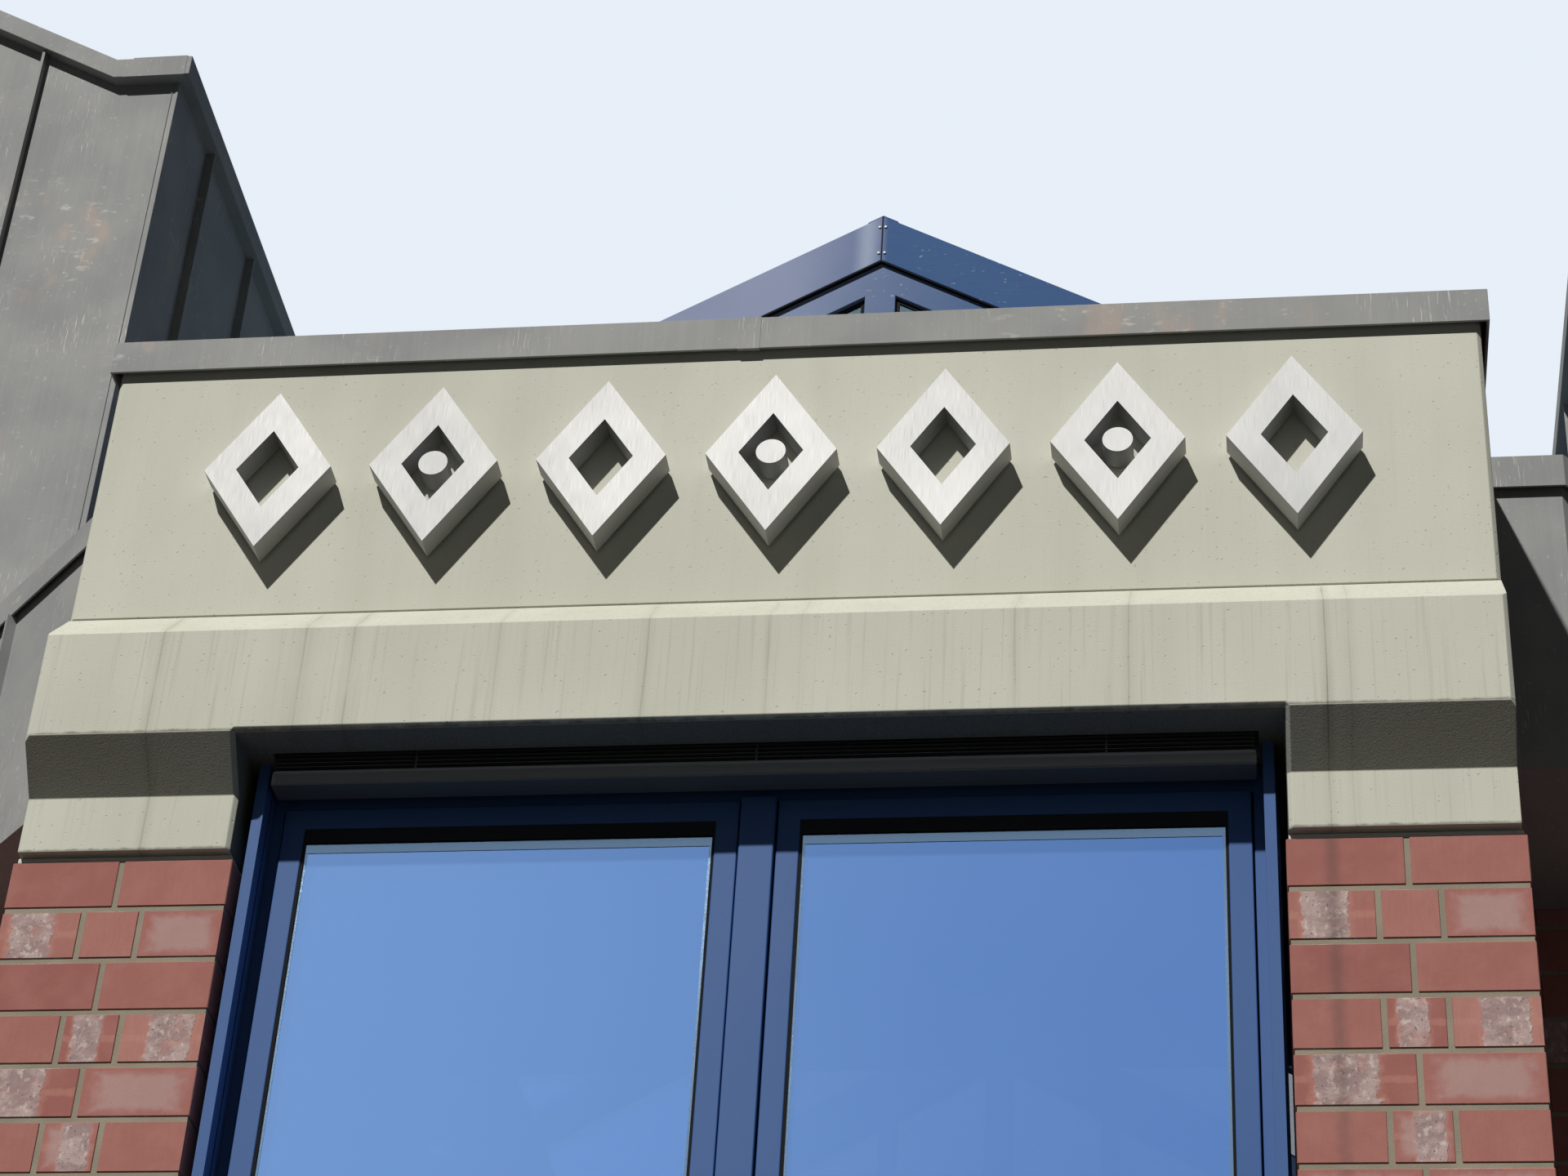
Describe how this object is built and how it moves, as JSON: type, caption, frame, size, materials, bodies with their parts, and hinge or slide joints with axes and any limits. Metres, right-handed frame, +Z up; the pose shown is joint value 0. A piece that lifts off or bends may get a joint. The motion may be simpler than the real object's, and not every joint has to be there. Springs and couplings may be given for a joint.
{
  "type": "town hall entrance bay",
  "caption": "Hollow two-storey town hall entrance bay: brick portal with precast lintel, zinc-clad gabled wings and a glazed gable roof over the hall.",
  "frame": {"origin": "middle of the building's footprint box, on the ground", "axes": "+Z up, the portal's front faces -Y, +X to the right of a person who faces the front"},
  "size_m": [9.18, 7.052, 9.5984],
  "materials": {
    "brick": "matt red clinker with grey joints",
    "concrete": "pale grey-green precast concrete",
    "zinc": "weathered folded zinc sheet",
    "roof": "weathered standing seam zinc",
    "blue_frame": "dark blue powder coating",
    "glass": "clear insulating glass",
    "steel": "brushed stainless steel",
    "floor": "smooth concrete floor",
    "membrane": "grey mineral roof sheet",
    "skylight_metal": "blue-grey coated aluminium",
    "blind": "grey coated aluminium"
  },
  "bodies": {
    "root": {"blind": "blind", "blind_guides": "blind", "center_mullion": "blue_frame", "floors": "floor", "left_entry_leaf": "blue_frame", "left_flank": "zinc", "left_flank_coping": "zinc", "left_leaf": "blue_frame", "left_pier": "brick", "left_return_wall": "brick", "left_wing_attic": "zinc", "left_wing_coping": "zinc", "left_wing_front": "brick", "left_wing_roof": "roof", "left_wing_sides": "brick", "panel_ornaments": "steel", "portal_coping": "zinc", "portal_frame": "blue_frame", "portal_lintel": "concrete", "portal_panes": "glass", "rear_coping": "zinc", "rear_wall": "brick", "right_entry_leaf": "blue_frame", "right_flank": "zinc", "right_flank_coping": "zinc", "right_leaf": "blue_frame", "right_pier": "brick", "right_return_wall": "brick", "right_wing_attic": "zinc", "right_wing_coping": "zinc", "right_wing_front": "brick", "right_wing_roof": "roof", "right_wing_sides": "brick", "roof_deck": "membrane", "sign_panel": "concrete", "skylight_caps": "skylight_metal", "skylight_gable_panes": "glass", "skylight_gables": "skylight_metal", "skylight_kerb": "skylight_metal", "skylight_panes": "glass", "skylight_rafters": "skylight_metal", "skylight_verges": "skylight_metal", "window_frames": "blue_frame", "window_panes": "glass", "window_sills": "concrete"}
  },
  "joints": []
}
